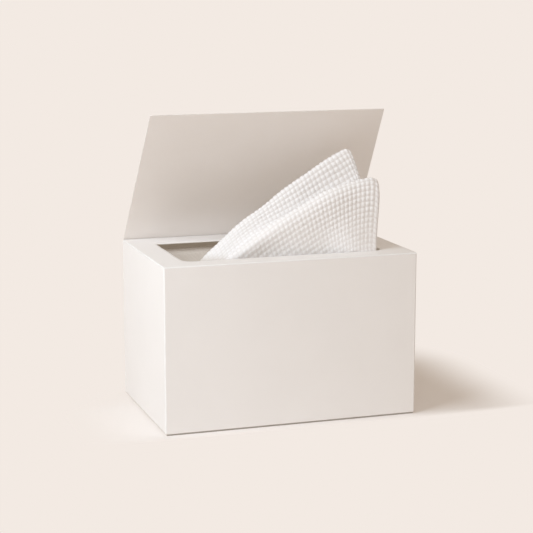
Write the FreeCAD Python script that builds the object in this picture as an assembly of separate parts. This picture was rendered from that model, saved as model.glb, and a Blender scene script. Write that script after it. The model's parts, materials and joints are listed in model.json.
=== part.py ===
"""Folding carton of dry facial wipes, lid up, with the first wipe drawn out of the window.

Frame: origin at the middle of the footprint, on the surface the carton stands on.
+X to the right seen from the front, +Y to the back, +Z up. Millimetres.
"""
import FreeCAD, Part
import math
import os
from FreeCAD import Vector

# Carton, outside sizes
CARTON_WIDTH = 200.0
CARTON_DEPTH = 130.0
CARTON_HEIGHT = 127.0        # to the face of the window panel

# Board and its folds
BOARD = 0.6                  # solid white board, about 400 g/m2
CREASE_RADIUS = 0.4          # inside radius of a creased fold
GLUE_FILM = 0.12             # glue and fibre rise between two lapped layers
FLAP_SET = 0.5               # how far a flap is cut short of the wall beside it
PANEL_SET = 0.2              # how far the window panel is cut short of the side walls' faces
SEAM_FLAP = 15.0             # width of the glued flap that closes the four walls
TUCK_FLAP = 14.0             # depth of the flap that ties the window panel to the back wall
DUST_FLAP = 17.0             # length of the two flaps under the window panel
SIDE_FLAP = 58.0             # length of the two inner bottom flaps
FLAP_CHAMFER = 6.0           # cut corners of the inner flaps
DUST_CHAMFER = 3.0           # and of the two dust flaps

# Window
WINDOW_SIDE_MARGIN = 20.0
WINDOW_FRONT_MARGIN = 18.0
WINDOW_BACK_MARGIN = 28.0
WINDOW_FRONT_RADIUS = 9.0    # of its two front corners
WINDOW_BACK_RADIUS = 4.0

# Lid
LID_OPEN_ANGLE = 55.0        # as it stands, from closed
LID_SIDE_SET = 0.5           # each side, at the hinge
LID_TAPER = 5.5              # each side, at the free edge, so that it drops shut
LID_END_SET = 1.0            # the free edge, short of the front wall's face
LID_CORNER_RADIUS = 1.0
LID_SEAT_GAP = 0.05          # over the window panel when shut
HINGE_CLEARANCE = 0.3        # between the crease bead and the lid

# Stack of interfolded wipes
WIPE_COUNT = 50
STACK_SIDE_ROOM = 4.4        # between the stack and each side wall
STACK_END_ROOM = 2.4         # between the stack and the front and back walls
STACK_DROP = 8.0             # window panel's face down to the top of the stack

# The wipe that stands out of the window
PLY = 1.1                    # waffle cloth
SOFT_GAP = 0.3               # a soft piece stays this clear of what it rests on
PLY_SET = 1.5                # the flat part's edge inside the stack's edge
LEAF_THICKNESS = 7.0         # a leaf is the cloth folded over a soft round edge
LEAF_ROUND = 3.0
BACK_LEAF_START = 24.0       # where its ridge leaves the stack, from the window's left edge
BACK_LEAF_TIP_SET = 13.5     # the top of its ridge, inside its free side edge
BACK_LEAF_HEADROOM = 22.2    # the top of its ridge, straight under the open lid
BACK_LEAF_BULGE = 3.2        # how far the ridge bows up over a straight line
BACK_LEAF_SHOULDER = 21.0    # its free side edge's top, under the top of the ridge
BACK_LEAF_LINE = 40.0        # its middle plane, from the window's front edge
FRONT_LEAF_START = 36.0
FRONT_LEAF_RISE = 56.0
FRONT_LEAF_BULGE = 12.0
FRONT_LEAF_LINE = 23.0       # its left end, from the window's front edge
FRONT_LEAF_SWING = 12.0      # its right end comes this much nearer the front
LEAF_EDGE_SET = 3.5          # the free side edges, inside the window's right edge

LEVEL = BOARD + GLUE_FILM                 # one lapped layer to the next
FOLD_RADIUS = CREASE_RADIUS + BOARD       # outside radius of a fold
HALF_WIDTH = CARTON_WIDTH / 2
HALF_DEPTH = CARTON_DEPTH / 2
DUST_LEVEL = CARTON_HEIGHT - LEVEL        # outer face of the dust flaps
SIDE_LEVEL = 2 * LEVEL                    # underside of the inner bottom flaps
BIN_FLOOR = SIDE_LEVEL + BOARD            # what the stack stands on
STACK_TOP = CARTON_HEIGHT - STACK_DROP
WIPE_WIDTH = CARTON_WIDTH - 2 * (BOARD + STACK_SIDE_ROOM)
WIPE_FOLDED_DEPTH = CARTON_DEPTH - 2 * (BOARD + STACK_END_ROOM)      # half of the wipe's cut length
SIDE_SPAN = HALF_DEPTH - BOARD - LEVEL - FLAP_SET     # half the length of a side wall's flaps
HINGE_Y = HALF_DEPTH - BOARD / 2
HINGE_Z = CARTON_HEIGHT + LID_SEAT_GAP + BOARD / 2
SAME_POINT = 1e-7


def in_plan(point):
    return Vector(point.x, point.y, 0)


def in_side_view(point):
    return Vector(0, point.x, point.y)


def in_front_view(point):
    return Vector(point.x, 0, point.y)


def folded_strip(corners, view):
    """Face of a strip of board folded at each inner corner of its middle line."""
    radius = CREASE_RADIUS + BOARD / 2
    points = [Vector(u, v, 0) for u, v in corners]
    runs = [(end - start).normalize() for start, end in zip(points, points[1:])]
    folds = []                            # (centre, directions out to its start, middle and end, sense)
    for corner, before, after in zip(points[1:], runs, runs[1:]):
        inward = (after - before).normalize()
        half_turn = before.getAngle(after) / 2
        centre = corner + inward * (radius / math.cos(half_turn))
        start = (corner - before * radius * math.tan(half_turn) - centre).normalize()
        end = (corner + after * radius * math.tan(half_turn) - centre).normalize()
        folds.append((centre, (start, inward * -1, end), math.copysign(1, before.cross(after).z)))

    def side(offset):
        """One face of the board: a point at each end, three points round each fold between."""
        first, last = (Vector(-run.y, run.x, 0) * offset for run in (runs[0], runs[-1]))
        bends = [[centre + leg * (radius - sense * offset) for leg in legs] for centre, legs, sense in folds]
        return [[points[0] + first]] + bends + [[points[-1] + last]]

    def edges(stations):
        """Lines and arcs through the stations; a fold right at the strip's end has no line before it."""
        made = []
        here = stations[0][0]
        for station in stations[1:]:
            if (station[0] - here).Length > SAME_POINT:
                made.append(Part.makeLine(view(here), view(station[0])))
            if len(station) == 3:
                made.append(Part.Arc(*[view(point) for point in station]).toShape())
            here = station[-1]
        return made

    left, right = side(BOARD / 2), side(-BOARD / 2)
    caps = [Part.makeLine(view(left[end][0]), view(right[end][0])) for end in (0, -1)]
    outline = Part.__sortEdges__(edges(left) + edges(right) + caps)
    return Part.Face(Part.Wire(outline))


def strip_across(corners, x_low, x_high):
    """A strip seen from the side, running from x_low to x_high."""
    face = folded_strip(corners, in_side_view)
    face.translate(Vector(x_low, 0, 0))
    return face.extrude(Vector(x_high - x_low, 0, 0))


def strip_along(corners, y_low, y_high):
    """A strip seen from the front, running from y_low to y_high."""
    face = folded_strip(corners, in_front_view)
    face.translate(Vector(0, y_low, 0))
    return face.extrude(Vector(0, y_high - y_low, 0))


def polygon_prism(points, depth):
    """Prism on a closed outline of points in one plane, extruded by the vector depth."""
    return Part.Face(Part.makePolygon(points + points[:1])).extrude(depth)


def walls():
    """The four walls as one wrapped strip, closed by the seam flap inside the back wall."""
    x, y = HALF_WIDTH - BOARD / 2, HALF_DEPTH - BOARD / 2
    seam_y = y - LEVEL
    seam_end = x - SEAM_FLAP
    loop = [(HALF_WIDTH, y), (-x, y), (-x, -y), (x, -y), (x, seam_y), (seam_end, seam_y)]
    low, high = LEVEL + FOLD_RADIUS, CARTON_HEIGHT - FOLD_RADIUS
    wrapped = folded_strip(loop, in_plan)
    wrapped.translate(Vector(0, 0, low))
    ring = wrapped.extrude(Vector(0, 0, high - low))
    for end, step in ((low, FLAP_CHAMFER), (high, -FLAP_CHAMFER)):
        face_y = seam_y - BOARD / 2
        corner = [Vector(seam_end, face_y, end), Vector(seam_end + FLAP_CHAMFER, face_y, end),
                  Vector(seam_end, face_y, end + step)]
        ring = ring.cut(polygon_prism(corner, Vector(0, BOARD, 0)))
    for sign in (-1, 1):
        inside = HALF_WIDTH - BOARD if sign > 0 else -HALF_WIDTH
        for z_low, z_high in ((low, SIDE_LEVEL + FOLD_RADIUS), (DUST_LEVEL - FOLD_RADIUS, high)):
            relief = Part.makeBox(BOARD, 2 * SIDE_SPAN, z_high - z_low, Vector(inside, -SIDE_SPAN, z_low))
            ring = ring.cut(relief)
    return ring


def side_flap(sign, level, rise, reach, chamfer):
    """A flap folded in from a side wall: rise is 1 if the wall stands above it, -1 if below."""
    x = HALF_WIDTH - BOARD / 2
    start = level + rise * (FOLD_RADIUS - BOARD / 2)
    tip = x - reach
    strip = strip_along([(sign * x, start), (sign * x, level), (sign * tip, level)], -SIDE_SPAN, SIDE_SPAN)
    for end in (-1, 1):
        corner = [Vector(sign * tip, end * SIDE_SPAN, level - BOARD),
                  Vector(sign * (tip + chamfer), end * SIDE_SPAN, level - BOARD),
                  Vector(sign * tip, end * (SIDE_SPAN - chamfer), level - BOARD)]
        strip = strip.cut(polygon_prism(corner, Vector(0, 0, 2 * BOARD)))
    return strip


def bottom():
    """Four flaps: the outer one folds from the back wall, the next from the front, two from the sides."""
    straight = HALF_WIDTH - FOLD_RADIUS
    y = HALF_DEPTH - BOARD / 2
    low = LEVEL + FOLD_RADIUS
    outer = strip_across([(y, low), (y, BOARD / 2), (FLAP_SET - HALF_DEPTH, BOARD / 2)], -straight, straight)
    level = LEVEL + BOARD / 2
    reach = HALF_DEPTH - BOARD - FLAP_SET
    inner = strip_across([(-y, low), (-y, level), (reach, level)], -straight, straight)
    sides = [side_flap(sign, SIDE_LEVEL + BOARD / 2, 1, SIDE_FLAP, FLAP_CHAMFER) for sign in (-1, 1)]
    return [outer, inner] + sides


def window_box():
    """Limits of the window: x_low, x_high, y_low, y_high."""
    return (WINDOW_SIDE_MARGIN - HALF_WIDTH, HALF_WIDTH - WINDOW_SIDE_MARGIN,
            WINDOW_FRONT_MARGIN - HALF_DEPTH, HALF_DEPTH - WINDOW_BACK_MARGIN)


def window_outline(z):
    """Face of the window's round-cornered rectangle at height z."""
    x_low, x_high, y_low, y_high = window_box()
    block = Part.makeBox(x_high - x_low, y_high - y_low, 1, Vector(x_low, y_low, z))
    for radius, y in ((WINDOW_FRONT_RADIUS, y_low), (WINDOW_BACK_RADIUS, y_high)):
        posts = [edge for edge in block.Edges
                 if edge.BoundBox.ZLength > 0.5 and abs(edge.CenterOfMass.y - y) < SAME_POINT]
        block = block.makeFillet(radius, posts)
    return next(f for f in block.Faces if abs(f.CenterOfMass.z - z) < SAME_POINT)


def window_panel():
    """Folded back from the front wall over the dust flaps, tucked down inside the back wall."""
    y = HALF_DEPTH - BOARD / 2
    z = CARTON_HEIGHT - BOARD / 2
    tuck_y = y - LEVEL
    bend = tuck_y + BOARD / 2 - FOLD_RADIUS
    reach = HALF_WIDTH - PANEL_SET
    tuck_end = HALF_WIDTH - SEAM_FLAP - BOARD - 2 * FLAP_SET
    panel = strip_across([(-y, CARTON_HEIGHT - FOLD_RADIUS), (-y, z), (bend, z)], -reach, reach)
    tuck_start = FOLD_RADIUS + FLAP_SET - HALF_WIDTH
    tuck = strip_across([(bend, z), (tuck_y, z), (tuck_y, z - TUCK_FLAP)], tuck_start, tuck_end)
    ear = Part.makeBox(reach - tuck_end - FLAP_SET, HALF_DEPTH - BOARD - FLAP_SET - bend, BOARD,
                       Vector(tuck_end + FLAP_SET, bend, z - BOARD / 2))
    window = window_outline(z - BOARD).extrude(Vector(0, 0, 2 * BOARD))
    return panel.fuse([tuck, ear]).cut(window)


def top():
    """Dust flaps, window panel, and the back wall's top edge with the crease bead of the lid."""
    straight = HALF_WIDTH - FOLD_RADIUS
    wall_top = CARTON_HEIGHT - FOLD_RADIUS
    back_edge = Part.makeBox(2 * straight, BOARD, HINGE_Z - wall_top,
                             Vector(-straight, HALF_DEPTH - BOARD, wall_top))
    bead = Part.makeCylinder(BOARD / 2, 2 * straight, Vector(-straight, HINGE_Y, HINGE_Z), Vector(1, 0, 0))
    dust = [side_flap(sign, DUST_LEVEL - BOARD / 2, -1, DUST_FLAP, DUST_CHAMFER) for sign in (-1, 1)]
    return dust + [back_edge, bead, window_panel()]


def carton():
    pieces = [walls()] + bottom() + top()
    return pieces[0].fuse(pieces[1:]).removeSplitter()


def lid():
    """The blank's last panel, tapered to its free edge and creased along the back wall."""
    root = HALF_WIDTH - LID_SIDE_SET
    tip, end = HALF_WIDTH - LID_TAPER, LID_END_SET - HALF_DEPTH
    low = HINGE_Z - BOARD / 2
    outline = [Vector(-root, HINGE_Y, low), Vector(root, HINGE_Y, low),
               Vector(tip, end, low), Vector(-tip, end, low)]
    plate = polygon_prism(outline, Vector(0, 0, BOARD))
    corners = [e for e in plate.Edges if e.Length < 2 * BOARD and e.CenterOfMass.y < 0]
    plate = plate.makeFillet(LID_CORNER_RADIUS, corners)
    room = Part.makeCylinder(BOARD / 2 + HINGE_CLEARANCE, CARTON_WIDTH,
                             Vector(-HALF_WIDTH, HINGE_Y, HINGE_Z), Vector(1, 0, 0))
    plate = plate.cut(room)
    plate.rotate(Vector(0, HINGE_Y, HINGE_Z), Vector(1, 0, 0), -LID_OPEN_ANGLE)
    return plate


def wipe_stack():
    """Interfolded wipes: half of each lies in the next one's fold, which faces front and back in turn."""
    step = (STACK_TOP - BIN_FLOOR) / WIPE_COUNT
    bulge = step / 2
    reach = WIPE_FOLDED_DEPTH / 2

    def face(y_sign, first):
        """One face upwards: every other wipe's fold, two steps tall, and cut edges in what is left over."""
        inside = y_sign * (reach - bulge)
        levels = [Vector(0, inside, BIN_FLOOR + i * step) for i in range(WIPE_COUNT + 1)]
        made = []
        for i in range(first, WIPE_COUNT - 1, 2):
            middle = levels[i + 1] + Vector(0, y_sign * bulge, 0)
            made.append(Part.Arc(levels[i], middle, levels[i + 2]).toShape())
        folded = first + 2 * len(made)
        if first:
            made.append(Part.makeLine(levels[0], levels[first]))
        if folded < WIPE_COUNT:
            made.append(Part.makeLine(levels[folded], levels[-1]))
        return made

    low, high = (Part.makeLine(Vector(0, bulge - reach, z), Vector(0, reach - bulge, z))
                 for z in (BIN_FLOOR, STACK_TOP))
    profile = Part.Face(Part.Wire(Part.__sortEdges__(face(-1, 0) + face(1, 1) + [low, high])))
    profile.translate(Vector(-WIPE_WIDTH / 2, 0, 0))
    return profile.extrude(Vector(WIPE_WIDTH, 0, 0))


def lid_height(y):
    """Height of the open lid's underside over a line at y across the carton."""
    slope = math.radians(LID_OPEN_ANGLE)
    return HINGE_Z + (HINGE_Y - y) * math.tan(slope) - BOARD / 2 / math.cos(slope)


def bowed(start, end, bulge):
    """Arc from start to end in the front view, its middle bulge above the straight line."""
    middle = (start + end) * 0.5
    along = (end - start).normalize()
    middle += Vector(-along.z, 0, along.x) * bulge
    return Part.Arc(start, middle, end).toShape()


def leaf(ridge_start, ridge_top, bulge, shoulder):
    """One standing leaf: from the stack up its bowed ridge, over the tip, down its free side edge."""
    foot = Vector(shoulder.x, 0, ridge_start.z)
    edges = [bowed(ridge_start, ridge_top, bulge), Part.makeLine(ridge_top, shoulder),
             Part.makeLine(shoulder, foot), Part.makeLine(foot, ridge_start)]
    face = Part.Face(Part.Wire(Part.__sortEdges__(edges)))
    face.translate(Vector(0, -LEAF_THICKNESS / 2, 0))
    solid = face.extrude(Vector(0, LEAF_THICKNESS, 0))
    ridge = [e for e in solid.Edges if isinstance(e.Curve, Part.Circle)]
    return solid.makeFillet(LEAF_ROUND, ridge)


def popped_wipe():
    """The first wipe: flat on the stack, drawn up to the right into a tall back leaf and a low front one."""
    x_low, x_high, y_low, y_high = window_box()
    base = STACK_TOP + SOFT_GAP
    ply_x, ply_y = WIPE_WIDTH / 2 - PLY_SET, WIPE_FOLDED_DEPTH / 2 - PLY_SET
    flat = Part.makeBox(2 * ply_x, 2 * ply_y, PLY, Vector(-ply_x, -ply_y, base))
    edge_x = x_high - LEAF_EDGE_SET

    back_y = y_low + BACK_LEAF_LINE
    tip_z = lid_height(back_y + LEAF_THICKNESS / 2) - BACK_LEAF_HEADROOM
    tip = Vector(edge_x - BACK_LEAF_TIP_SET, 0, tip_z)
    shoulder = Vector(edge_x, 0, tip_z - BACK_LEAF_SHOULDER)
    back = leaf(Vector(x_low + BACK_LEAF_START, 0, base), tip, BACK_LEAF_BULGE, shoulder)
    back.translate(Vector(0, back_y, 0))

    ridge_end = Vector(edge_x - LEAF_ROUND, 0, CARTON_HEIGHT + FRONT_LEAF_RISE)
    corner = Vector(edge_x, 0, ridge_end.z - LEAF_ROUND)
    front = leaf(Vector(x_low + FRONT_LEAF_START, 0, base), ridge_end, FRONT_LEAF_BULGE, corner)
    front.translate(Vector(0, y_low + FRONT_LEAF_LINE, 0))
    pivot = Vector(x_low + FRONT_LEAF_START, y_low + FRONT_LEAF_LINE, 0)
    swing = math.degrees(math.asin(FRONT_LEAF_SWING / (edge_x - pivot.x)))
    front.rotate(pivot, Vector(0, 0, 1), -swing)
    return flat.fuse([back, front]).removeSplitter()


def save(name, shape):
    """Writes one node as a STEP file."""
    shape.exportStep(os.path.join("parts", name + ".step"))


os.makedirs("parts", exist_ok=True)
save("carton", carton())
save("lid", lid())
save("wipe_stack", wipe_stack())
save("popped_wipe", popped_wipe())
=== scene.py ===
import json
import math

import bpy
import numpy as np
from bpy.props import FloatProperty, FloatVectorProperty, IntProperty, PointerProperty
from mathutils import Euler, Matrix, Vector


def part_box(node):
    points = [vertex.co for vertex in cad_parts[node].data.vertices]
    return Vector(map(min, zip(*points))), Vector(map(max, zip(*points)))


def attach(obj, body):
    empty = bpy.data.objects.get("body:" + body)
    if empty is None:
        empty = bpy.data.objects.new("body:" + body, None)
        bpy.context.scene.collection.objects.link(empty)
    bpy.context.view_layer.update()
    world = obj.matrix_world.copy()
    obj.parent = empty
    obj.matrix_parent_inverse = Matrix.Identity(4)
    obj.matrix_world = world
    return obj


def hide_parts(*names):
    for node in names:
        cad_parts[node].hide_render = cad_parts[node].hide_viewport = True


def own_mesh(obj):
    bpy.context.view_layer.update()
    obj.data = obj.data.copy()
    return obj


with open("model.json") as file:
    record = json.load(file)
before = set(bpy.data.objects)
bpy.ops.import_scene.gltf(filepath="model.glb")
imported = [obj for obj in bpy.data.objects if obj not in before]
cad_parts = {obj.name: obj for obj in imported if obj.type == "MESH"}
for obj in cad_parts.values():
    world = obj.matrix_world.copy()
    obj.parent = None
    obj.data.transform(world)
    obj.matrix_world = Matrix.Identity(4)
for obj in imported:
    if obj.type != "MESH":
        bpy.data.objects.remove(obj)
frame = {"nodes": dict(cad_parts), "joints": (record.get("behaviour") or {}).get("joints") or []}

bl_info = {
    "name": "Box of facial wipes",
    "version": (1, 0, 0),
    "blender": (4, 5, 0),
    "location": "3D View > Sidebar > Wipe box",
    "description": "Finishes a carton of folded facial wipes and draws up its first wipe",
    "category": "Object",
}

MM = 0.001
BLACK = (0.0, 0.0, 0.0, 1.0)

# Places that the model fixes
LID_HINGE = Vector(frame["joints"][0]["pos_m"])
HINGE_RISE = 0.35 * MM                        # of the hinge's line over the window panel
PANEL_FACE = LID_HINGE.z - HINGE_RISE         # the window panel's upper face
CARTON_LOW, CARTON_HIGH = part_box("carton")
STACK_LOW, STACK_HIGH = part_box("wipe_stack")

# The window in the panel: half its length, its back and front rims, and how round its corners are
WINDOW_SIDE = CARTON_HIGH.x - 20 * MM
WINDOW_BACK = CARTON_HIGH.y - 28 * MM
WINDOW_FRONT = CARTON_LOW.y + 18 * MM
WINDOW_BACK_RADIUS, WINDOW_FRONT_RADIUS = 4 * MM, 9 * MM

# The board's edges
CREASE_WIDTH = 1.1 * MM                       # how far the painted highlight reaches from a crease, each way
RIM_WIDTH, RIM_FADE = 0.2 * MM, 0.9 * MM      # the window's pale cut rim, partly a painted highlight: full to the first, gone by the second
CONTACT_SHADOW_HEIGHT, CONTACT_SHADOW_FADE = 0.8 * MM, 1.3 * MM     # the painted shadow line under the foot, likewise
CONTACT_SHADOW_CUT = 0.72                             # how much weaker the painted shadow line is under the two end walls
GLOW_START, GLOW_FULL = 0.40 * MM, 0.52 * MM  # depths in the board between which the painted glow inside the carton begins

# The stretch of floor that takes the box's shadow: its sides, and how far it fades out past each
SHADE_LEFT, SHADE_LEFT_FADE = CARTON_LOW.x, 60 * MM
SHADE_RIGHT, SHADE_RIGHT_FADE = CARTON_HIGH.x + 45 * MM, 75 * MM
SHADE_FRONT, SHADE_FRONT_FADE = CARTON_LOW.y, 14 * MM
SHADE_BACK, SHADE_BACK_FADE = CARTON_HIGH.y, 120 * MM
SHADE_TURN = CARTON_HIGH.y - 45 * MM          # behind this line its left side turns in behind the box

# The studio: lamps by their turn and rise in degrees and reach in metres
KEY_TURN, KEY_RISE, KEY_REACH, KEY_SIZE = 68, 34, 0.80, 0.45
FILL_TURN, FILL_RISE, FILL_REACH, FILL_SPREAD = 0, 42, 2.0, 60
LAMP_TARGET = Vector((0, 0, 0.08))            # the middle of the carton
FLOOR_HALF = 40.0
SENSOR_WIDTH = 36.0                           # of the camera, in millimetres

# The pile of folded wipes
PILE_DIP = 7.2 * MM                           # it is lower between its two folded sides than along them
DIP_EDGE, PILE_EDGE = 36 * MM, 60 * MM        # from the middle line to where it starts to rise, and is full
PILE_MARGIN = 1.0 * MM                        # of the wipes inside the stack's space, front and back
PILE_CLEARANCE = 0.6 * MM                     # over and under the plies
PILE_SLIP, PILE_SEED = 1.0 * MM, 7            # how far a wipe lies out of line
SLIP_ACROSS = 0.4                             # share of that which it may lie out across the carton
PILE_WAVE, WAVE_SCALE = 0.9 * MM, 24.0        # height of the pile's waves, and their noise per metre
FOLD_PLIES = 1.5                              # a fold's radius in plies: two others lie inside it
FOLD_SHARE = 3.0                              # one part in this many of a wipe's rows goes round its fold
WIPE_COLUMNS, WIPE_ROWS = 14, 25              # points of one wipe in the pile

# The drawn-up cloth: the height, in millimetres, at which its cells stand fully open, the shares of
# that height between which it comes loose from the pile, and how much of the cells' relief stands in
# the pile, is added when it comes loose, and is added with the height
TALL = 60.0
LOOSE = (0.025, 0.2)
RELIEF_PRESSED, RELIEF_LOOSE, RELIEF_TALL = 0.2, 0.3, 0.5

# The finishes, each noise by its scale per metre and its detail
CLOUD, FIBRE = (26.0, 3.0), (1400.0, 4.0)     # of the board: its coating's blotches, and its fibres
YARN, WOOL = (2600.0, 3.0), (420.0, 3.0)      # of the cloth: its threads, and their unevenness
GRAIN = (35.0, 3.0)                           # of the floor
NOISE_ROUGHNESS = 0.55
FIBRE_SHARE = 0.25                            # of the fibres in the coating's blotches
COATING = (0.36, 0.64)                        # noise where the coating is thinnest, and where it is full
CREASE_SUM = (1.0, 1.9)                       # sum of the walls' masks at a crease, and off it
RIM_REACH = (0.8, 1.0)                        # the panel's mask where the window's pale rim ends
GROOVE_SHADE_POWER = 4.0                      # how narrow the painted shade in the cloth's grooves is
WOOL_SHARE = 0.3                              # of its unevenness in its shade
PILLOW = (0.05, 0.7)                          # relief that has the full painted groove shade, and the cloth's own colour
LOW_LIGHT = 0.5                               # least light in a groove where the cloth lies low
PILE_GROOVE_LIGHT, PILE_GROOVE_SHADE = 0.75, 0.06     # least light in a groove of the pile's painted shade, and how much darker that painted shade is in a groove


# ---------------------------------------------------------------- shader maths

class Signal:
    """One value in a node tree: ordinary operators on it add the Math nodes."""

    def __init__(self, nodes, socket):
        self.nodes = nodes
        self.socket = socket

    def _maths(self, operation, first, second=None):
        """Adds a Math node."""
        inputs = {0: first} if second is None else {0: first, 1: second}
        return self.nodes.signal(self.nodes.node("ShaderNodeMath", {"operation": operation}, inputs))

    def __add__(self, other):
        return self._maths("ADD", self, other)

    def __radd__(self, other):
        return self._maths("ADD", other, self)

    def __sub__(self, other):
        return self._maths("SUBTRACT", self, other)

    def __rsub__(self, other):
        return self._maths("SUBTRACT", other, self)

    def __mul__(self, other):
        return self._maths("MULTIPLY", self, other)

    def __rmul__(self, other):
        return self._maths("MULTIPLY", other, self)

    def __pow__(self, other):
        return self._maths("POWER", self, other)

    def __truediv__(self, other):
        return self._maths("DIVIDE", self, other)

    def __mod__(self, other):
        return self._maths("MODULO", self, other)

    def sine(self):
        """Of an angle in radians."""
        return self._maths("SINE", self)

    def cosine(self):
        """Of an angle in radians."""
        return self._maths("COSINE", self)

    def size(self):
        """The value without its sign."""
        return self._maths("ABSOLUTE", self)

    def lower(self, other):
        """The lower of the two."""
        return self._maths("MINIMUM", self, other)

    def higher(self, other):
        """The higher of the two."""
        return self._maths("MAXIMUM", self, other)

    def band(self, low, high):
        """0 below low, 1 above high, smooth between."""
        settings = {"interpolation_type": "SMOOTHSTEP"}
        inputs = {"Value": self, "From Min": low, "From Max": high}
        node = self.nodes.node("ShaderNodeMapRange", settings, inputs)
        return self.nodes.signal(node, "Result")


class Nodes:
    """A node tree, built node by node."""

    def __init__(self, tree):
        self.tree = tree

    def node(self, kind, settings, inputs):
        """Adds a node: its settings are set first, then the values or links of its sockets."""
        node = self.tree.nodes.new(kind)
        for name, value in settings.items():
            setattr(node, name, value)
        for name, value in inputs.items():
            self.feed(node.inputs[name], value)
        return node

    def feed(self, socket, value):
        """Links a signal or socket to the given socket, or sets its value."""
        if isinstance(value, Signal):
            value = value.socket
        if isinstance(value, bpy.types.NodeSocket):
            self.tree.links.new(value, socket)
        else:
            socket.default_value = value

    def signal(self, node, output=0):
        """The signal that leaves a node's output."""
        return Signal(self, node.outputs[output])

    def split(self, vector):
        """The three parts of a vector."""
        node = self.node("ShaderNodeSeparateXYZ", {}, {0: vector})
        return [self.signal(node, k) for k in range(3)]

    def join(self, x, y, z):
        """A vector of three parts."""
        return self.node("ShaderNodeCombineXYZ", {}, {0: x, 1: y, 2: z}).outputs[0]


class Finish(Nodes):
    """One material."""

    def __init__(self, name):
        self.material = bpy.data.materials.new(name)
        self.material.use_nodes = True
        super().__init__(self.material.node_tree)
        self.shader = self.tree.nodes["Principled BSDF"]
        self.coordinates = self.node("ShaderNodeTexCoord", {}, {}).outputs

    def spots(self, scale, detail):
        """Soft noise of the given scale per metre, from about 0 to 1."""
        node = self.node("ShaderNodeTexNoise", {}, {
            "Vector": self.coordinates["Object"],
            "Scale": scale,
            "Detail": detail,
            "Roughness": NOISE_ROUGHNESS})
        return self.signal(node, "Fac")

    def attribute(self, name):
        """Value that the mesh stores under a name, 0 where it stores none."""
        return self.signal(self.node("ShaderNodeAttribute", {"attribute_name": name}, {}), "Fac")

    def blend(self, share, first, second):
        """Colour between two others."""
        node = self.node("ShaderNodeMix", {"data_type": "RGBA"}, {"Factor": share, 6: first, 7: second})
        return node.outputs[2]

    def bumps(self, height, distance, below=None):
        """Normal of a height signal over that of the bumps below."""
        inputs = {"Height": height, "Distance": distance, "Strength": 1.0}
        if below is not None:
            inputs["Normal"] = below
        return self.node("ShaderNodeBump", {}, inputs).outputs["Normal"]

    def set(self, **inputs):
        """Sets the shader's own sockets, named with _ for a space."""
        for name, value in inputs.items():
            self.feed(self.shader.inputs[name.replace("_", " ")], value)
        return self.material


def rgba(colour):
    """A colour with its alpha."""
    return (*colour, 1.0)


def shaded(colour, share):
    """The colour less a share of itself."""
    return [part * (1 - share) for part in colour]


# ---------------------------------------------------------------- settings

class BoardSettings(bpy.types.PropertyGroup):
    """The white board that the carton and its lid are folded from."""
    face_colour: FloatVectorProperty(
        name="Face colour", description="Coated face of the board", subtype="COLOR", size=3,
        default=(0.860, 0.833, 0.810), min=0, max=1)
    lid_colour: FloatVectorProperty(
        name="Lid colour", description="Face of the lid, a touch creamier", subtype="COLOR", size=3,
        default=(0.875, 0.835, 0.802), min=0, max=1)
    blotch: FloatProperty(
        name="Blotch", description="How much darker the face is where its coating is thinnest",
        subtype="FACTOR", default=0.012, min=0, max=1)
    # painted glow given off by the inside of the carton, standing in for light that soaks through the board
    painted_glow_colour: FloatVectorProperty(
        name="Soaked colour", description="Light that soaks through to the inside of the board",
        subtype="COLOR", size=3, default=(0.080, 0.066, 0.049), min=0, max=1)
    # painted highlight along the creases, and the window's pale cut rim, which is partly a painted
    # highlight too
    highlight_and_cut_edge_colour: FloatVectorProperty(
        name="Crease colour", description="Rubbed creases and cut edges", subtype="COLOR", size=3,
        default=(0.985, 0.975, 0.960), min=0, max=1)
    # painted contact shadow: a dark line along the foot of the walls
    contact_shadow_colour: FloatVectorProperty(
        name="Gap colour", description="Dark line where the folded edge stands off the floor",
        subtype="COLOR", size=3, default=(0.095, 0.068, 0.045), min=0, max=1)
    crease_depth: FloatProperty(
        name="Crease depth", description="How far a crease rounds the board off", unit="LENGTH",
        default=0.5 * MM, min=0, max=2 * MM)
    roughness: FloatProperty(
        name="Roughness", description="Matt coating", subtype="FACTOR", default=0.62, min=0, max=1)
    fibre_depth: FloatProperty(
        name="Fibre depth", description="Height of the fibres in the face", unit="LENGTH",
        default=0.03 * MM, min=0, max=1 * MM)


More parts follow.
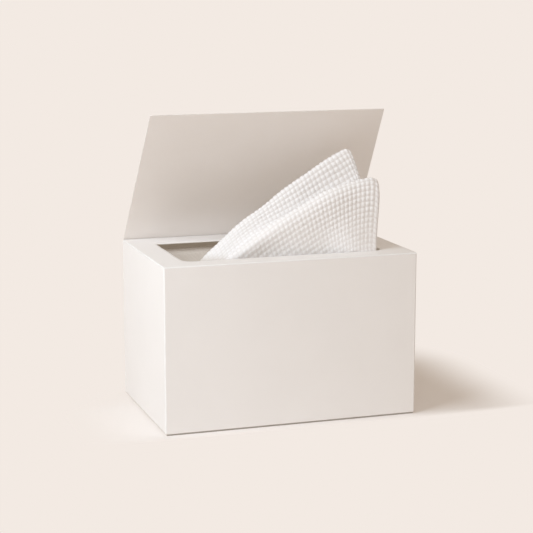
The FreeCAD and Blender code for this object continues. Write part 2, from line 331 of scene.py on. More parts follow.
class ClothSettings(bpy.types.PropertyGroup):
    """The waffle cloth, and the size it is cut to."""
    width: FloatProperty(
        name="Width", description="Of a wipe, along the carton", unit="LENGTH",
        default=190 * MM, min=10 * MM)
    length: FloatProperty(
        name="Length", description="Of a wipe, across the carton", unit="LENGTH",
        default=249 * MM, min=10 * MM)
    wipes: IntProperty(name="Wipes", description="In the stack", default=50, min=1)
    cell_along: FloatProperty(
        name="Cell along", description="Waffle cell along the carton", unit="LENGTH",
        default=3.8 * MM, min=1 * MM)
    cell_across: FloatProperty(
        name="Cell across", description="Waffle cell across the carton", unit="LENGTH",
        default=4.15 * MM, min=1 * MM)
    relief: FloatProperty(
        name="Relief", description="Top of a cell over the grooves round it", unit="LENGTH",
        default=0.85 * MM, min=0)
    thickness: FloatProperty(
        name="Thickness", description="Of the cloth itself", unit="LENGTH", default=0.7 * MM, min=0.1 * MM)
    colour: FloatVectorProperty(
        name="Colour", description="Bleached cotton", subtype="COLOR", size=3,
        default=(0.876, 0.855, 0.842), min=0, max=1)
    # painted shade in the grooves between the waffle's cells
    groove_shade_colour: FloatVectorProperty(
        name="Groove colour", description="Between the waffle's cells", subtype="COLOR", size=3,
        default=(0.772, 0.732, 0.702), min=0, max=1)
    # painted glow on the cloth's shaded sides, standing in for light through the cotton
    painted_glow_colour: FloatVectorProperty(
        name="Soaked colour", description="Light that soaks through to the cloth's shaded side",
        subtype="COLOR", size=3, default=(0.200, 0.180, 0.158), min=0, max=1)
    # painted shade: a dark beige where the cloth lies low in the pile, standing in for the shade inside the
    # carton
    pile_shade_colour: FloatVectorProperty(
        name="Pressed colour", description="Where the cloth is pressed flat in the pile",
        subtype="COLOR", size=3, default=(0.560, 0.500, 0.435), min=0, max=1)


class StudioSettings(bpy.types.PropertyGroup):
    """Floor, lamps and camera."""
    floor_colour: FloatVectorProperty(
        name="Floor colour", description="Pale floor", subtype="COLOR", size=3,
        default=(0.860, 0.815, 0.780), min=0, max=1)
    air_colour: FloatVectorProperty(
        name="Air colour", description="Light from all round", subtype="COLOR", size=3,
        default=(1.0, 0.822, 0.643), min=0, max=1)
    air_strength: FloatProperty(
        name="Air strength", description="Of the light from all round", default=0.48, min=0)
    key_power: FloatProperty(
        name="Key power", description="Large lamp at the left", unit="POWER", default=4.2, min=0)
    key_colour: FloatVectorProperty(
        name="Key colour", description="Of the lamp at the left", subtype="COLOR", size=3,
        default=(0.799, 0.899, 1.0), min=0, max=1)
    fill_strength: FloatProperty(
        name="Fill strength", description="Broad light from the front", default=0.735, min=0)
    fill_colour: FloatVectorProperty(
        name="Fill colour", description="Of the broad light from the front", subtype="COLOR", size=3,
        default=(0.824, 0.900, 1.0), min=0, max=1)
    backdrop_colour: FloatVectorProperty(
        name="Backdrop colour", description="The floor as seen past the box", subtype="COLOR", size=3,
        default=(0.896, 0.823, 0.768), min=0, max=1)
    camera_place: FloatVectorProperty(
        name="Camera place", description="In the carton's frame", subtype="TRANSLATION", size=3,
        default=(-0.38339, -1.15982, 0.33687))
    camera_turn: FloatVectorProperty(
        name="Camera turn", description="Tilt, roll and heading", subtype="EULER", size=3,
        default=(math.radians(79.509), math.radians(0.028), math.radians(-18.307)))
    lens: FloatProperty(name="Lens", description="Focal length in millimetres", default=106.78, min=1)


# ---------------------------------------------------------------- finishes

def board_finish(settings, name, face_colour):
    """Matt coated board: faint blotches, fine fibres, soft creases with a painted highlight, a pale window
    rim that is partly a painted highlight, a painted shadow line at the foot, and a painted glow inside.
    """
    finish = Finish(name)
    x, y, z = finish.split(finish.coordinates["Object"])
    cloud = finish.spots(*CLOUD)
    fibre = finish.spots(*FIBRE)
    blotch = (cloud * (1.0 - FIBRE_SHARE) + fibre * FIBRE_SHARE).band(*COATING)
    # 0 on each pair of walls and on the panel, 1 away from them
    ends = (CARTON_HIGH.x - x.size()).band(0.0, CREASE_WIDTH)
    walls = (CARTON_HIGH.y - y.size()).band(0.0, CREASE_WIDTH)
    panel = (PANEL_FACE - z).size().band(0.0, CREASE_WIDTH)
    foot = z.size().band(0.0, CREASE_WIDTH)
    # painted shadow line along the foot, weaker under the end walls
    contact_shadow = (1.0 - z.band(CONTACT_SHADOW_HEIGHT, CONTACT_SHADOW_FADE)) * (1.0 - walls * CONTACT_SHADOW_CUT)
    faces = ends + walls + (panel * foot)       # 2 on a face, 1 or less where two faces meet
    rim = (1.0 - past_window(x, y).band(RIM_WIDTH, RIM_FADE)) * (1.0 - panel.band(*RIM_REACH))
    # painted highlight on the creases, taken up to the window's pale rim
    crease = (1.0 - faces.band(*CREASE_SUM)).higher(rim)
    face = finish.blend(blotch, rgba(shaded(face_colour, settings.blotch)), rgba(face_colour))
    colour = finish.blend(crease, face, rgba(settings.highlight_and_cut_edge_colour))
    colour = finish.blend(contact_shadow, colour, rgba(settings.contact_shadow_colour))
    rounded = finish.bumps(1.0 - crease, settings.crease_depth)
    return finish.set(
        Base_Color=colour,
        Roughness=settings.roughness + (cloud - 0.5) * 0.1,
        Normal=finish.bumps(fibre, settings.fibre_depth, rounded),
        # painted glow inside the carton
        Emission_Color=inner_painted_glow(finish, settings, (x, y, z)),
        Emission_Strength=1.0)


def past_window(x, y):
    """How far a place lies outside the window's round-cornered rim."""
    middle = (WINDOW_BACK + WINDOW_FRONT) / 2
    back = (y - middle).band(-1 * MM, 1 * MM)
    radius = back * (WINDOW_BACK_RADIUS - WINDOW_FRONT_RADIUS) + WINDOW_FRONT_RADIUS
    aside = x.size() - WINDOW_SIDE + radius
    ahead = (y - middle).size() - (WINDOW_BACK - WINDOW_FRONT) / 2 + radius
    past_corner = (aside.higher(0.0) ** 2.0 + ahead.higher(0.0) ** 2.0) ** 0.5
    return past_corner + aside.higher(ahead).lower(0.0) - radius


def inner_painted_glow(finish, settings, place):
    """A painted warm glow on the inside of the carton only, standing in for light that soaks through thin
    board.
    """
    x, y, z = place
    inside = (CARTON_HIGH.x - x.size()).band(GLOW_START, GLOW_FULL)
    inside = inside * (CARTON_HIGH.y - y.size()).band(GLOW_START, GLOW_FULL)
    inside = inside * (PANEL_FACE - z).band(GLOW_START, GLOW_FULL)
    return finish.blend(inside, BLACK, rgba(settings.painted_glow_colour))


def cloth_finish(settings, name):
    """Bleached waffle cotton, whose UV map's unit is one cell, with painted shade in its grooves, a darker
    painted shade where it lies low in the pile, and a painted glow on its shaded sides.
    """
    finish = Finish(name)
    along, across, _ = finish.split(finish.coordinates["UV"])
    height, soaked = finish.attribute("lift"), finish.attribute("soaked")
    loose, tall = height.band(*LOOSE), height.band(LOOSE[1], 1.0)
    grooves = [(phase * math.tau).cosine() * 0.5 + 0.5 for phase in (along, across)]
    pillow = (1.0 - grooves[0] ** GROOVE_SHADE_POWER) * (1.0 - grooves[1] ** GROOVE_SHADE_POWER)
    yarn = finish.spots(*YARN)
    wool = finish.spots(*WOOL)
    light = (pillow + (wool - 0.5) * WOOL_SHARE).band(*PILLOW).higher(LOW_LIGHT - tall * LOW_LIGHT)
    # painted shade in the waffle's grooves, darkest where the cloth stands tall
    raised = finish.blend(light, rgba(settings.groove_shade_colour), rgba(settings.colour))
    pile_groove_shade = shaded(settings.pile_shade_colour, PILE_GROOVE_SHADE)
    # pressed: the painted shade of cloth lying low in the pile
    pressed = finish.blend(
        eased(PILE_GROOVE_LIGHT, light), rgba(pile_groove_shade), rgba(settings.pile_shade_colour))
    return finish.set(
        Base_Color=finish.blend(loose, pressed, raised),
        Roughness=0.92 - light * 0.04,
        Normal=finish.bumps(yarn * 0.6 + wool * 0.4, 0.22 * MM),
        Sheen_Weight=0.25,
        Sheen_Roughness=0.5,
        # painted glow on the drawn-up cloth's shaded sides
        Emission_Color=finish.blend(soaked * loose, BLACK, rgba(settings.painted_glow_colour)),
        Emission_Strength=1.0)


def floor_finish(studio):
    """Pale floor: lit and shaded round the box, and the backdrop's plain colour further off."""
    finish = Finish("pale_floor")
    grain = finish.spots(*GRAIN)
    finish.set(Base_Color=rgba(studio.floor_colour), Roughness=0.88 + grain * 0.06)
    x, y, _ = finish.split(finish.coordinates["Object"])
    left = SHADE_LEFT + (y - SHADE_TURN).higher(0.0)
    aside = ((x - SHADE_RIGHT) / SHADE_RIGHT_FADE).higher((left - x) / SHADE_LEFT_FADE).higher(0.0)
    ahead = ((y - SHADE_BACK) / SHADE_BACK_FADE).higher((SHADE_FRONT - y) / SHADE_FRONT_FADE).higher(0.0)
    far = ((aside * aside + ahead * ahead) ** 0.5).band(0.0, 1.0)
    path = finish.node("ShaderNodeLightPath", {}, {})
    seen = finish.signal(path, "Is Camera Ray").higher(finish.signal(path, "Is Glossy Ray"))
    plain = finish.node("ShaderNodeEmission", {}, {"Color": rgba(studio.backdrop_colour), "Strength": 1.0})
    both = finish.node("ShaderNodeMixShader", {}, {
        0: far * seen, 1: finish.shader.outputs[0], 2: plain.outputs[0]})
    finish.feed(finish.tree.nodes["Material Output"].inputs["Surface"], both.outputs[0])
    return finish.material


def air(studio):
    """World that lights from all round, and is seen as the backdrop's plain colour."""
    world = bpy.data.worlds.new("air")
    world.use_nodes = True
    nodes = Nodes(world.node_tree)
    path = nodes.node("ShaderNodeLightPath", {}, {})
    light = world.node_tree.nodes["Background"]
    nodes.feed(light.inputs["Color"], rgba(studio.air_colour))
    nodes.feed(light.inputs["Strength"], studio.air_strength)
    seen = nodes.node("ShaderNodeBackground", {}, {"Color": rgba(studio.backdrop_colour), "Strength": 1.0})
    both = nodes.node("ShaderNodeMixShader", {}, {
        0: nodes.signal(path, "Is Camera Ray"), 1: light.outputs[0], 2: seen.outputs[0]})
    nodes.feed(world.node_tree.nodes["World Output"].inputs["Surface"], both.outputs[0])
    return world


# ---------------------------------------------------------------- the cloth's shapes

def soft_step(value, low, high):
    """0 below low, 1 above high, smooth between."""
    share = np.clip((value - low) / (high - low), 0, 1)
    return share * share * (3 - 2 * share)


def eased(low, share):
    """Goes from low to 1 as the share goes from 0 to 1."""
    return low + (1 - low) * share


def soft_floor(value, width):
    """The value where it is well above 0, easing to 0 below."""
    return (value + np.sqrt(value * value + width * width)) / 2


def bezier(ends, count):
    """Points on a cubic curve with the four given ends, first to last."""
    t = np.linspace(0, 1, count)[:, None]
    a, b, c, d = (np.array(p, float) for p in ends)
    return (1 - t) ** 3 * a + 3 * (1 - t) ** 2 * t * b + 3 * (1 - t) * t ** 2 * c + t ** 3 * d


def spline(rows, steps):
    """Cubic B-spline that starts and ends on its first and last control rows, steps points a span."""
    rows = np.concatenate([rows[:1], rows[:1], rows, rows[-1:], rows[-1:]])
    t = np.arange(steps) / steps
    basis = np.stack([
        (1 - t) ** 3,
        3 * t ** 3 - 6 * t ** 2 + 4,
        1 + 3 * t + 3 * t ** 2 - 3 * t ** 3,
        t ** 3]) / 6
    spans = [np.einsum("bt,bcd->tcd", basis, rows[i:i + 4]) for i in range(len(rows) - 3)]
    return np.concatenate(spans + [rows[-1:]])


def walk(path, count, lengths):
    """Points along each column of the path, at even steps up to the column's own length."""
    run = path_run(path)
    points = np.empty((count, path.shape[1], 3))
    for column, length in enumerate(lengths):
        at = np.linspace(0, length, count)
        for axis in range(3):
            points[:, column, axis] = np.interp(at, run[:, column], path[:, column, axis])
    return points


def path_run(path):
    """Distance run along each column of the path up to each of its points."""
    steps = np.linalg.norm(np.diff(path, axis=0), axis=2)
    return np.concatenate([np.zeros((1, path.shape[1])), np.cumsum(steps, axis=0)])


def grid_normals(points):
    """Unit normals of a grid of points, across the columns and along the rows."""
    normal = np.cross(np.gradient(points, axis=1), np.gradient(points, axis=0))
    return normal / np.maximum(np.linalg.norm(normal, axis=2, keepdims=True), 1e-12)


def sheet_object(name, points, phases, marks, thickness):
    """A sheet of cloth from a grid of points, with the cells' phases as its UV map.
    Its marks are its attributes: each has values for the lower side's points and for the upper side's."""
    rows, columns = points.shape[:2]
    index = np.arange(rows * columns).reshape(rows, columns)
    loops = [index[:-1, :-1], index[1:, :-1], index[1:, 1:], index[:-1, 1:]]
    faces = np.stack(loops, axis=2).reshape(-1, 4)
    mesh = bpy.data.meshes.new(name)
    mesh.from_pydata(points.reshape(-1, 3).tolist(), [], faces.tolist())
    cells = phases.reshape(-1, 2)[faces.reshape(-1)].astype(np.float32)
    mesh.uv_layers.new(name="cells").data.foreach_set("uv", cells.ravel())
    sheet = bpy.data.objects.new(name, mesh)
    bpy.context.scene.collection.objects.link(sheet)
    thicken(sheet, thickness)
    plain_mesh(sheet)
    for mark, sides in marks.items():
        values = np.concatenate([np.broadcast_to(side, (rows, columns)).ravel() for side in sides])
        attribute = sheet.data.attributes.new(mark, "FLOAT", "POINT")
        attribute.data.foreach_set("value", values.astype(np.float32))
    return sheet


def thicken(piece, thickness):
    """Gives a piece's surface its cloth's thickness, half on each side."""
    solid = piece.modifiers.new("cloth", "SOLIDIFY")
    solid.thickness = thickness
    solid.offset = 0.0


def plain_mesh(piece):
    """Turns a piece's modifiers into its mesh, shaded smooth."""
    graph = bpy.context.evaluated_depsgraph_get()
    mesh = bpy.data.meshes.new_from_object(
        piece.evaluated_get(graph), preserve_all_data_layers=True, depsgraph=graph)
    piece.modifiers.clear()
    piece.data = mesh
    mesh.polygons.foreach_set("use_smooth", np.ones(len(mesh.polygons), bool))


# ---------------------------------------------------------------- the pile

STACK_INPUTS = {
    "Wipes": "Int", "Width": "Float", "Depth": "Float", "Step": "Float", "Middle": "Float",
    "Lowest": "Float", "Slip": "Float", "Seed": "Int", "Dip": "Float", "Height": "Float",
    "Cells along": "Float", "Cells across": "Float", "Material": "Material"}


def stack_tree():
    """Node group of a stack of wipes, each folded in half and laid into the last, turned end for end."""
    tree = bpy.data.node_groups.new("folded_wipes", "GeometryNodeTree")
    for name, kind in STACK_INPUTS.items():
        tree.interface.new_socket(name, in_out="INPUT", socket_type="NodeSocket" + kind)
    tree.interface.new_socket("Geometry", in_out="OUTPUT", socket_type="NodeSocketGeometry")
    nodes = Nodes(tree)
    source = nodes.node("NodeGroupInput", {}, {})
    size = {name: nodes.signal(source, name) for name in STACK_INPUTS}
    wipe = folded_wipe_nodes(nodes, size)
    line = nodes.node("GeometryNodeMeshLine", {"mode": "OFFSET"}, {
        "Count": size["Wipes"],
        "Start Location": nodes.join(0.0, size["Middle"], size["Lowest"]),
        "Offset": nodes.join(0.0, 0.0, size["Step"] * 2.0)})
    slip = nodes.node("FunctionNodeRandomValue", {"data_type": "FLOAT_VECTOR"}, {
        0: nodes.join(size["Slip"] * -1.0, size["Slip"] * -SLIP_ACROSS, 0.0),
        1: nodes.join(size["Slip"], size["Slip"] * SLIP_ACROSS, 0.0),
        "Seed": size["Seed"]})
    moved = nodes.node("GeometryNodeSetPosition", {}, {
        "Geometry": line.outputs[0], "Offset": slip.outputs[0]})
    order = nodes.signal(nodes.node("GeometryNodeInputIndex", {}, {}))
    pile = nodes.node("GeometryNodeInstanceOnPoints", {}, {
        "Points": moved.outputs[0],
        "Instance": wipe,
        "Rotation": nodes.join(0.0, 0.0, (order % 2.0) * math.pi)})
    real = nodes.node("GeometryNodeRealizeInstances", {}, {0: pile.outputs[0]})
    wavy = nodes.node("GeometryNodeSetPosition", {}, {
        "Geometry": real.outputs[0], "Offset": pile_waves(nodes, size)})
    done = nodes.node("GeometryNodeSetMaterial", {}, {
        "Geometry": wavy.outputs[0], "Material": size["Material"]})
    nodes.node("NodeGroupOutput", {}, {0: done.outputs[0]})
    return tree


def folded_wipe_nodes(nodes, size):
    """Nodes of one wipe folded in half, its fold at the front. Gives the geometry's socket."""
    radius = size["Step"] * FOLD_PLIES
    grid = nodes.node("GeometryNodeMeshGrid", {}, {
        "Size X": size["Width"], "Size Y": 2.0, "Vertices X": WIPE_COLUMNS, "Vertices Y": WIPE_ROWS})
    cells = nodes.split(grid.outputs["UV Map"])
    stored = nodes.node("GeometryNodeStoreNamedAttribute", {"data_type": "FLOAT2", "domain": "CORNER"}, {
        "Geometry": grid.outputs[0],
        "Name": "cells",
        "Value": nodes.join(cells[0] * size["Cells along"], cells[1] * size["Cells across"], 0.0)})
    # A row's place runs from -1 at one end of the cloth to 1 at the other, with the fold at 0
    x, row, _ = nodes.split(nodes.node("GeometryNodeInputPosition", {}, {}).outputs[0])
    turn = (row * FOLD_SHARE).higher(-1.0).lower(1.0) * (math.pi / 2)
    straight = (size["Depth"] - radius * 2.0) / (FOLD_SHARE - 1.0)
    leg = (row.size() * FOLD_SHARE - 1.0).higher(0.0) * straight
    y = leg - size["Depth"] / 2.0 + radius * (1.0 - turn.cosine())
    bent = nodes.node("GeometryNodeSetPosition", {}, {
        "Geometry": stored.outputs[0], "Position": nodes.join(x, y, radius * turn.sine())})
    return bent.outputs[0]


def pile_waves(nodes, size):
    """The pile's dip along its middle, and small waves that run through all of it."""
    x, y, z = nodes.split(nodes.node("GeometryNodeInputPosition", {}, {}).outputs[0])
    noise = nodes.node("ShaderNodeTexNoise", {}, {
        "Vector": nodes.join(x, y, 0.0), "Scale": WAVE_SCALE, "Detail": 1.0})
    share = (z - size["Lowest"]) / size["Height"]
    dip = (y.size().band(DIP_EDGE, PILE_EDGE) - 1.0) * share * size["Dip"]
    return nodes.join(0.0, 0.0, dip + (nodes.signal(noise) - 0.5) * PILE_WAVE)


def pile_of_wipes(settings, finish):
    """The pile of folded wipes, as one plain mesh."""
    mesh = bpy.data.meshes.new("folded_wipes")
    pile = bpy.data.objects.new("folded_wipes", mesh)
    bpy.context.scene.collection.objects.link(pile)
    tree = stack_tree()
    height = STACK_HIGH.z - STACK_LOW.z - settings.thickness - 2 * PILE_CLEARANCE
    step = height / (2 * settings.wipes + 1)
    values = {
        "Wipes": settings.wipes,
        "Width": settings.width,
        "Depth": STACK_HIGH.y - STACK_LOW.y - 2 * PILE_MARGIN,
        "Step": step,
        "Middle": (STACK_HIGH.y + STACK_LOW.y) / 2,
        "Lowest": STACK_LOW.z + settings.thickness / 2 + PILE_CLEARANCE + FOLD_PLIES * step,
        "Slip": PILE_SLIP,
        "Seed": PILE_SEED,
        "Dip": PILE_DIP,
        "Height": height,
        "Cells along": settings.width / settings.cell_along,
        "Cells across": settings.length / settings.cell_across,
        "Material": finish}
    build = pile.modifiers.new("wipes", "NODES")
    build.node_group = tree
    for socket in tree.interface.items_tree:
        if socket.in_out == "INPUT":
            build[socket.identifier] = values[socket.name]
    thicken(pile, settings.thickness)
    plain_mesh(pile)
    return pile


# ---------------------------------------------------------------- the drawn-up wipe

# In millimetres: across the carton its section is an M, a tall back leaf and a lower front one, and
# both ridges run down to the left until the cloth lies flat on the stack.
QUADS = 4                                     # quads to a waffle cell, each way
BACK_CELLS, VALLEY_CELLS, FRONT_CELLS = 23, 14, 23      # behind the back ridge, between the two, in front
BACK_RIDGE = ((-53.8, -6.5), (-37.6, 12.2), (36.0, 61.3), (68.6, 78.4))       # x, and height over the panel
FRONT_RIDGE = ((-40.5, -2.8), (2.4, 29.6), (44.5, 57.4), (77.6, 55.4))
BACK_CORNER, FRONT_CORNER = 9.0, 6.0          # how round the two leaves' free corners are
RIDGE_POINTS, SLOPE_POINTS, LEVEL_POINTS = 400, 60, 120
LEVEL_RUN = 120.0                             # of a ridge's line along the lay, past its foot
FOOT_EASE = 4.0                               # how softly a ridge comes down on the lay
PLY_HEIGHT = 2.4                              # the flat ply's middle over the pile
LAY = (STACK_HIGH.z - PILE_DIP) / MM + PLY_HEIGHT

# Across the carton
BACK_LINE, BACK_SWAY, SWAYS = -5.0, 1.6, 0.9  # y of the back leaf, how far it sways, and how often
FRONT_LINE, FRONT_RUN = -38.5, 9.0            # y of the front leaf, and how far back it runs to the left
BACK_FOOT = 76.8                              # x of the back leaf's right edge, where it stands
BACK_LEAN, FRONT_LEAN = 0.27, 0.30            # how far a leaf's foot lies right of its ridge, by height
FRONT_OVERHANG = 3.6                          # of the front leaf's right edge over its foot
PLY_RIGHT, PLY_LEFT = 84.0, -92.5             # x of the flat ply's two edges
STANDING = (2, 24)                            # heights between which a leaf comes to stand
SPREADING = (22, 62)                          # heights between which the valley hangs to its full depth
RISING = (0, 20)                              # heights between which it comes off the ply
LEAF_LOW, VALLEY_LOW = 0.35, 0.4              # share of their rows' offsets that stays where they are low
DEPTH_LOW = 0.35                              # share of the valley's depth that stays there
VALLEY_EASE = 6.0                             # how softly the valley comes down on the ply

# Stations, from the right edge on, between which the leaves change their shape
FRONT_RUNS = (0, 120)                         # the front leaf runs back
FRONT_LEANS = (0, 80)                         # the front leaf comes to lean, and loses its overhang
BACK_LEANS = (-1, 30)                         # the back leaf's foot comes to follow its ridge
BULGES = (0, 40)                              # the back leaf goes from its right bulge to its left one
BULGE_RIGHT, BULGE_LEFT = 3.0, 1.3            # powers that bend the back leaf between foot and ridge

# Control rows of the section, from the back hem to the end of the front ply. A flat row has its y and
# its height over the lay, a leaf's row its offset in y and its share of the leaf's height, and a
# valley's row its offset in y and its rise.
BACK_PLY = ((-22.0, -1.6), (12.0, -1.6), (34.0, -1.5), (43.0, -1.0),
            (48.2, 0.2), (48.8, 2.6), (45.2, 4.3), (39.0, 3.7))
BACK_TURN = ((32.0, 2.0), (23.0, 0.6))        # midway between the ply's edge and the leaf's foot
BACK_START = (14.0, 0.0)                      # under the leaf's foot
BACK_LEAF = ((10.0, 0.0), (5.5, 0.05), (4.2, 0.3), (4.0, 0.62), (3.6, 0.9),
             (1.9, 1.0), (-1.9, 1.0), (-4.4, 0.9), (-7.5, 0.72))
VALLEY = ((3.5, 3.0), (0.0, -0.5), (-3.5, 3.0))
FRONT_LEAF = ((6.0, 0.86), (2.8, 1.0), (-2.2, 1.0), (-5.4, 0.9), (-5.8, 0.74),
              (-5.4, 0.52), (-6.2, 0.3), (-8.0, 0.1), (-11.0, 0.0), (-14.0, 0.0))
FRONT_TURN = (-54.0, 0.0)                     # midway between the leaf's foot and the ply's edge
FRONT_PLY = ((-60.4, 0.0), (-61.6, -0.8), (-60.4, -1.6), (-40.0, -1.6), (34.0, -1.6))
BACK_TOP, FRONT_TOP = 5, 1                    # the first of the two rows at each leaf's top
CURVE_STEPS = 14                              # points to a span of the section's curve

# The relief: how narrow its grooves are, and slow waves by their height, their turn for each cell
# along and across, and their start
GROOVE_POWER = 3
SLOW_WAVES = ((0.35, 0.55, 0.21, 0.0), (0.25, -0.33, 0.43, 1.7))
WAVES_PRESSED = 0.4                           # share of those waves in pressed cloth
GLOW_ROWS = (10, 2)                           # rows behind the back top between which the painted glow fades


def corner_drop(corner, stations):
    """How much a leaf's round free corner takes off its height at each station."""
    inside = np.clip(corner - stations, 0, corner)
    return corner - np.sqrt(corner * corner - inside * inside)


def ridge(curve, corner, stations):
    """x and height over the lay of a ridge at each station, measured leftwards from the right edge."""
    line = bezier(curve, RIDGE_POINTS)[::-1]
    lay = LAY - PANEL_FACE / MM
    last = line[-1] - line[-2]
    foot = line[-1] + last * (lay - line[-1, 1]) / last[1]
    slope = np.linspace(line[-1], foot, SLOPE_POINTS)[1:]
    level = np.linspace(foot, foot - (LEVEL_RUN, 0), LEVEL_POINTS)[1:]
    line = np.concatenate([line, slope, level])
    line[:, 1] = soft_floor(line[:, 1] - lay, FOOT_EASE)
    run = np.concatenate([[0], np.cumsum(np.hypot(*np.diff(line, axis=0).T))])
    x, height = (np.interp(stations, run, line[:, k]) for k in (0, 1))
    return x, height - corner_drop(corner, stations)


def section(stations, pitch):
    """Control rows of the M section at each station, and which is the first of each leaf's two top rows."""
    back_x, back_h = ridge(BACK_RIDGE, BACK_CORNER, stations)
    front_x, front_h = ridge(FRONT_RIDGE, FRONT_CORNER, stations)
    middle_h = (back_h + front_h) / 2
    width = stations[-1]
    back_y = BACK_LINE + BACK_SWAY * np.sin(stations / width * math.tau * SWAYS)
    front_y = FRONT_LINE + FRONT_RUN * soft_step(stations, *FRONT_RUNS)
    lean = soft_step(stations, *FRONT_LEANS)
    back_foot = BACK_FOOT + (back_x + BACK_LEAN * back_h - BACK_FOOT) * soft_step(stations, *BACK_LEANS)
    front_foot = front_x - FRONT_OVERHANG * (1 - lean) + FRONT_LEAN * lean * front_h
    edge = PLY_RIGHT - stations * (PLY_RIGHT - PLY_LEFT) / width
    bulge = BULGE_RIGHT + (BULGE_LEFT - BULGE_RIGHT) * soft_step(stations, *BULGES)
    back_stands, front_stands = soft_step(back_h, *STANDING), soft_step(front_h, *STANDING)
    half = (back_y - front_y) / 2
    span = VALLEY_CELLS * pitch / 2
    depth = np.sqrt(np.maximum(span * span - half * half, 0))
    depth *= eased(DEPTH_LOW, soft_step(front_h, *SPREADING))
    valley_h = soft_floor(middle_h - depth, VALLEY_EASE) * soft_step(middle_h, *RISING)

    def flat(x, y, height):
        return np.stack([x, np.full_like(x, y), np.full_like(x, height)], axis=1)

    def back(offset, share):
        x = back_foot + (back_x - back_foot) * share ** bulge
        return np.stack([x, back_y + offset * eased(LEAF_LOW, back_stands), back_h * share], axis=1)

    def valley(offset, rise):
        x = (back(0, 0.6)[:, 0] + front(0, 0.8)[:, 0]) / 2
        y = (back_y + front_y) / 2 + offset * eased(VALLEY_LOW, front_stands)
        return np.stack([x, y, valley_h + rise * front_stands], axis=1)

    def front(offset, share):
        x = front_foot + (front_x - front_foot) * share
        return np.stack([x, front_y + offset * eased(LEAF_LOW, front_stands), front_h * share], axis=1)

    rows = [flat(edge, *row) for row in BACK_PLY]
    rows += [flat((edge + back_foot) / 2, *row) for row in BACK_TURN]
    rows += [flat(back_foot, *BACK_START)]
    back_top = len(rows) + BACK_TOP
    rows += [back(*row) for row in BACK_LEAF]
    rows += [valley(*row) for row in VALLEY]
    front_top = len(rows) + FRONT_TOP
    rows += [front(*row) for row in FRONT_LEAF]
    rows += [flat((edge + front_foot) / 2, *FRONT_TURN)]
    rows += [flat(edge, *row) for row in FRONT_PLY]
    return np.stack(rows), (back_top, front_top)


def smooth_cloth(columns, pitch):
    """Grid of the cloth's points before its relief, from the back hem on, with heights over the lay."""
    control, tops = section(columns, pitch)
    path = spline(control, CURVE_STEPS)
    # The curve passes a control row one span after its number, and a crest is midway between two rows
    crests = [(top + 2) * CURVE_STEPS - CURVE_STEPS // 2 for top in tops]
    back = path[crests[0]::-1]
    valley = path[crests[0]:crests[1] + 1]
    front = path[crests[1]:]
    back_length = BACK_CELLS * pitch - corner_drop(BACK_CORNER, columns)
    front_length = FRONT_CELLS * pitch - corner_drop(FRONT_CORNER, columns)
    return np.concatenate([
        walk(back, BACK_CELLS * QUADS + 1, back_length)[:0:-1],
        walk(valley, VALLEY_CELLS * QUADS + 1, path_run(valley)[-1]),
        walk(front, FRONT_CELLS * QUADS + 1, front_length)[1:]])


def drawn_up_wipe(settings):
    """Grid of the drawn-up wipe's points in metres, its cells' phases, and the marks of its two sides."""
    cells = round(settings.width / settings.cell_along)
    columns = np.linspace(0, settings.width / MM, cells * QUADS + 1)
    points = smooth_cloth(columns, settings.cell_across / MM)
    shape = points.shape[:2]
    rows = np.arange(shape[0])[:, None]
    along = np.broadcast_to(columns / (settings.cell_along / MM), shape)
    across = np.broadcast_to(rows / QUADS, shape)
    height = np.clip(points[:, :, 2] / TALL, 0, 1)
    loose, tall = soft_step(height, *LOOSE), soft_step(height, LOOSE[1], 1)
    pile_rise = soft_step(np.abs(points[:, :, 1]), DIP_EDGE / MM, PILE_EDGE / MM)
    points[:, :, 2] += LAY + PILE_DIP / MM * pile_rise
    grooves = [((1 + np.cos(phase * math.tau)) / 2) ** GROOVE_POWER for phase in (along, across)]
    pillow = (1 - grooves[0]) * (1 - grooves[1]) - 0.5
    relief = settings.relief / MM * (RELIEF_PRESSED + RELIEF_LOOSE * loose + RELIEF_TALL * tall)
    slow = sum(size * np.sin(along * a + across * b + start) for size, a, b, start in SLOW_WAVES)
    swell = pillow * relief + slow * eased(WAVES_PRESSED, loose)
    points += grid_normals(points) * swell[:, :, None]
    top_row = BACK_CELLS * QUADS
    behind = 1 - soft_step(rows, top_row - GLOW_ROWS[0], top_row - GLOW_ROWS[1])
    # painted glow: all of the lower side, and the upper side behind the back top
    marks = {"lift": (height, height), "soaked": (1.0, behind)}
    return points * MM, np.stack([along, across], axis=2), marks


# ---------------------------------------------------------------- operators

class WIPEBOX_OT_board(bpy.types.Operator):
    """Give the carton and the lid their coated board"""
    bl_idname = "wipebox.board"
    bl_label = "Board"

    def execute(self, context):
        settings = context.scene.wipebox_board
        for node, name, colour in (("carton", "coated_board", settings.face_colour),
                                   ("lid", "coated_lid_board", settings.lid_colour)):
            mesh = frame["nodes"][node].data
            mesh.materials.clear()
            mesh.materials.append(board_finish(settings, name, colour))
        return {"FINISHED"}


class WIPEBOX_OT_stack(bpy.types.Operator):
    """Fill the carton with its pile of folded wipes"""
    bl_idname = "wipebox.stack"
    bl_label = "Stack"

    def execute(self, context):
        settings = context.scene.wipebox_cloth
        # the whole pile takes the painted shade of cloth lying low
        pile = pile_of_wipes(settings, cloth_finish(settings, "pile_shaded_cotton"))
        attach(pile, "carton")
        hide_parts("wipe_stack")
        return {"FINISHED"}


class WIPEBOX_OT_first_wipe(bpy.types.Operator):
    """Draw the first wipe up through the window"""
    bl_idname = "wipebox.first_wipe"
    bl_label = "First wipe"

    def execute(self, context):
        settings = context.scene.wipebox_cloth
        wipe = sheet_object("first_wipe", *drawn_up_wipe(settings), settings.thickness)
        wipe.data.materials.append(cloth_finish(settings, "waffle_cotton"))
        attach(wipe, "carton")
        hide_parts("popped_wipe")
        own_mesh(wipe)
        return {"FINISHED"}


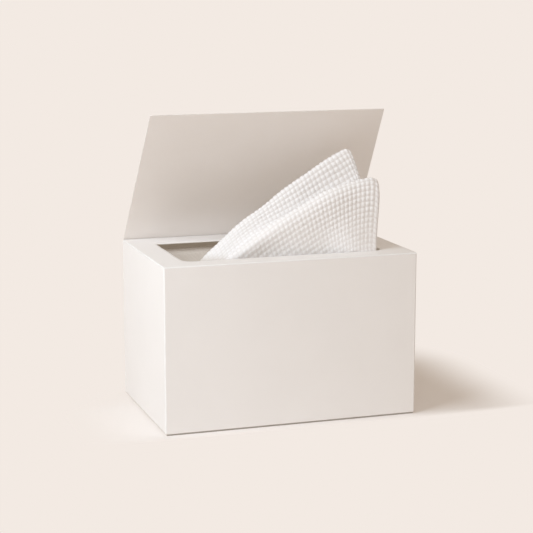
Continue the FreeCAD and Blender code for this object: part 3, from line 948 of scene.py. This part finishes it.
class WIPEBOX_OT_stage(bpy.types.Operator):
    """Lay the pale floor and set the lamps and the camera"""
    bl_idname = "wipebox.stage"
    bl_label = "Stage"

    def execute(self, context):
        studio = context.scene.wipebox_studio
        floor_mesh = bpy.data.meshes.new("floor")
        sides = ((-1, -1), (1, -1), (1, 1), (-1, 1))
        floor_mesh.from_pydata([(x * FLOOR_HALF, y * FLOOR_HALF, 0) for x, y in sides], [], [(0, 1, 2, 3)])
        floor = bpy.data.objects.new("floor", floor_mesh)
        context.scene.collection.objects.link(floor)
        floor_mesh.materials.append(floor_finish(studio))
        context.scene.world = air(studio)
        key = self.lamp(context, "key", "AREA", (KEY_TURN, KEY_RISE), KEY_REACH)
        key.color = studio.key_colour
        key.energy = studio.key_power
        key.size = KEY_SIZE
        fill = self.lamp(context, "fill", "SUN", (FILL_TURN, FILL_RISE), FILL_REACH)
        fill.color = studio.fill_colour
        fill.energy = studio.fill_strength
        fill.angle = math.radians(FILL_SPREAD)
        camera = bpy.data.cameras.new("camera")
        camera.lens = studio.lens
        camera.sensor_width = SENSOR_WIDTH
        view = bpy.data.objects.new("camera", camera)
        view.location = studio.camera_place
        view.rotation_euler = studio.camera_turn
        context.scene.collection.objects.link(view)
        context.scene.camera = view
        context.scene.view_settings.view_transform = "Standard"
        return {"FINISHED"}

    def lamp(self, context, name, kind, aim, reach):
        """A lamp that faces the carton's middle. Its aim is its turn from front to left, and its rise."""
        turn, rise = (math.radians(angle) for angle in aim)
        light = bpy.data.lights.new(name, kind)
        lamp = bpy.data.objects.new(name, light)
        away = Vector((0, -1, 0))
        away.rotate(Euler((-rise, 0, -turn)))
        lamp.location = away * reach + LAMP_TARGET
        lamp.rotation_euler = away.to_track_quat("Z", "Y").to_euler()
        lamp.visible_camera = False
        context.scene.collection.objects.link(lamp)
        return light


class WIPEBOX_PT_panel(bpy.types.Panel):
    """The wipe box's pieces and settings"""
    bl_label = "Wipe box"
    bl_idname = "WIPEBOX_PT_panel"
    bl_space_type = "VIEW_3D"
    bl_region_type = "UI"
    bl_category = "Wipe box"

    def draw(self, context):
        for operator in OPERATORS:
            self.layout.operator(operator.bl_idname)
        for group in SETTINGS:
            box = self.layout.box()
            for name in SETTINGS[group].__annotations__:
                box.prop(getattr(context.scene, group), name)


SETTINGS = {
    "wipebox_board": BoardSettings, "wipebox_cloth": ClothSettings, "wipebox_studio": StudioSettings}
OPERATORS = (WIPEBOX_OT_board, WIPEBOX_OT_stack, WIPEBOX_OT_first_wipe, WIPEBOX_OT_stage)
CLASSES = (*SETTINGS.values(), *OPERATORS, WIPEBOX_PT_panel)


def register():
    """Makes the classes and their settings known to Blender."""
    for made in CLASSES:
        bpy.utils.register_class(made)
    for name, group in SETTINGS.items():
        setattr(bpy.types.Scene, name, PointerProperty(type=group))


def unregister():
    """Takes them away again."""
    for name in SETTINGS:
        delattr(bpy.types.Scene, name)
    for made in reversed(CLASSES):
        bpy.utils.unregister_class(made)


def main():
    """Finishes the whole box and its stage."""
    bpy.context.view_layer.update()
    register()
    bpy.ops.wipebox.board()
    bpy.ops.wipebox.stack()
    bpy.ops.wipebox.first_wipe()
    bpy.ops.wipebox.stage()


if __name__ == "__main__":
    main()
